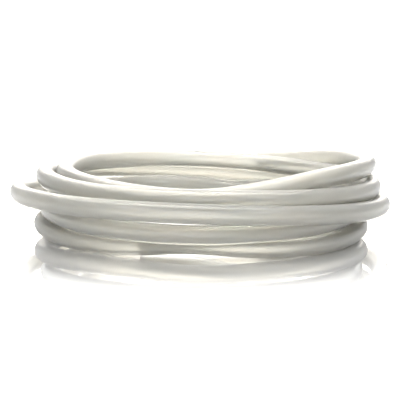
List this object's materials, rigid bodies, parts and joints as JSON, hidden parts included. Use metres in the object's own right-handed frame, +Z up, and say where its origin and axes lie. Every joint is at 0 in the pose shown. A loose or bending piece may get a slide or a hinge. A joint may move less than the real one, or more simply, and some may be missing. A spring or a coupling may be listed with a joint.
{
  "type": "silicone tubing coil",
  "caption": "Loose coil of soft translucent silicone laboratory tubing, open at both ends, lying flat on a surface",
  "frame": {"origin": "on the surface that the coil lies on, at the middle of the coil's outline", "axes": "+X right, seen from the side where the inner end lies in front, +Y away, +Z up"},
  "size_m": [0.1628, 0.1624, 0.0348],
  "materials": {
    "silicone": "milky translucent silicone, smooth and satin"
  },
  "bodies": {
    "root": {"tubing": "silicone"}
  },
  "joints": []
}
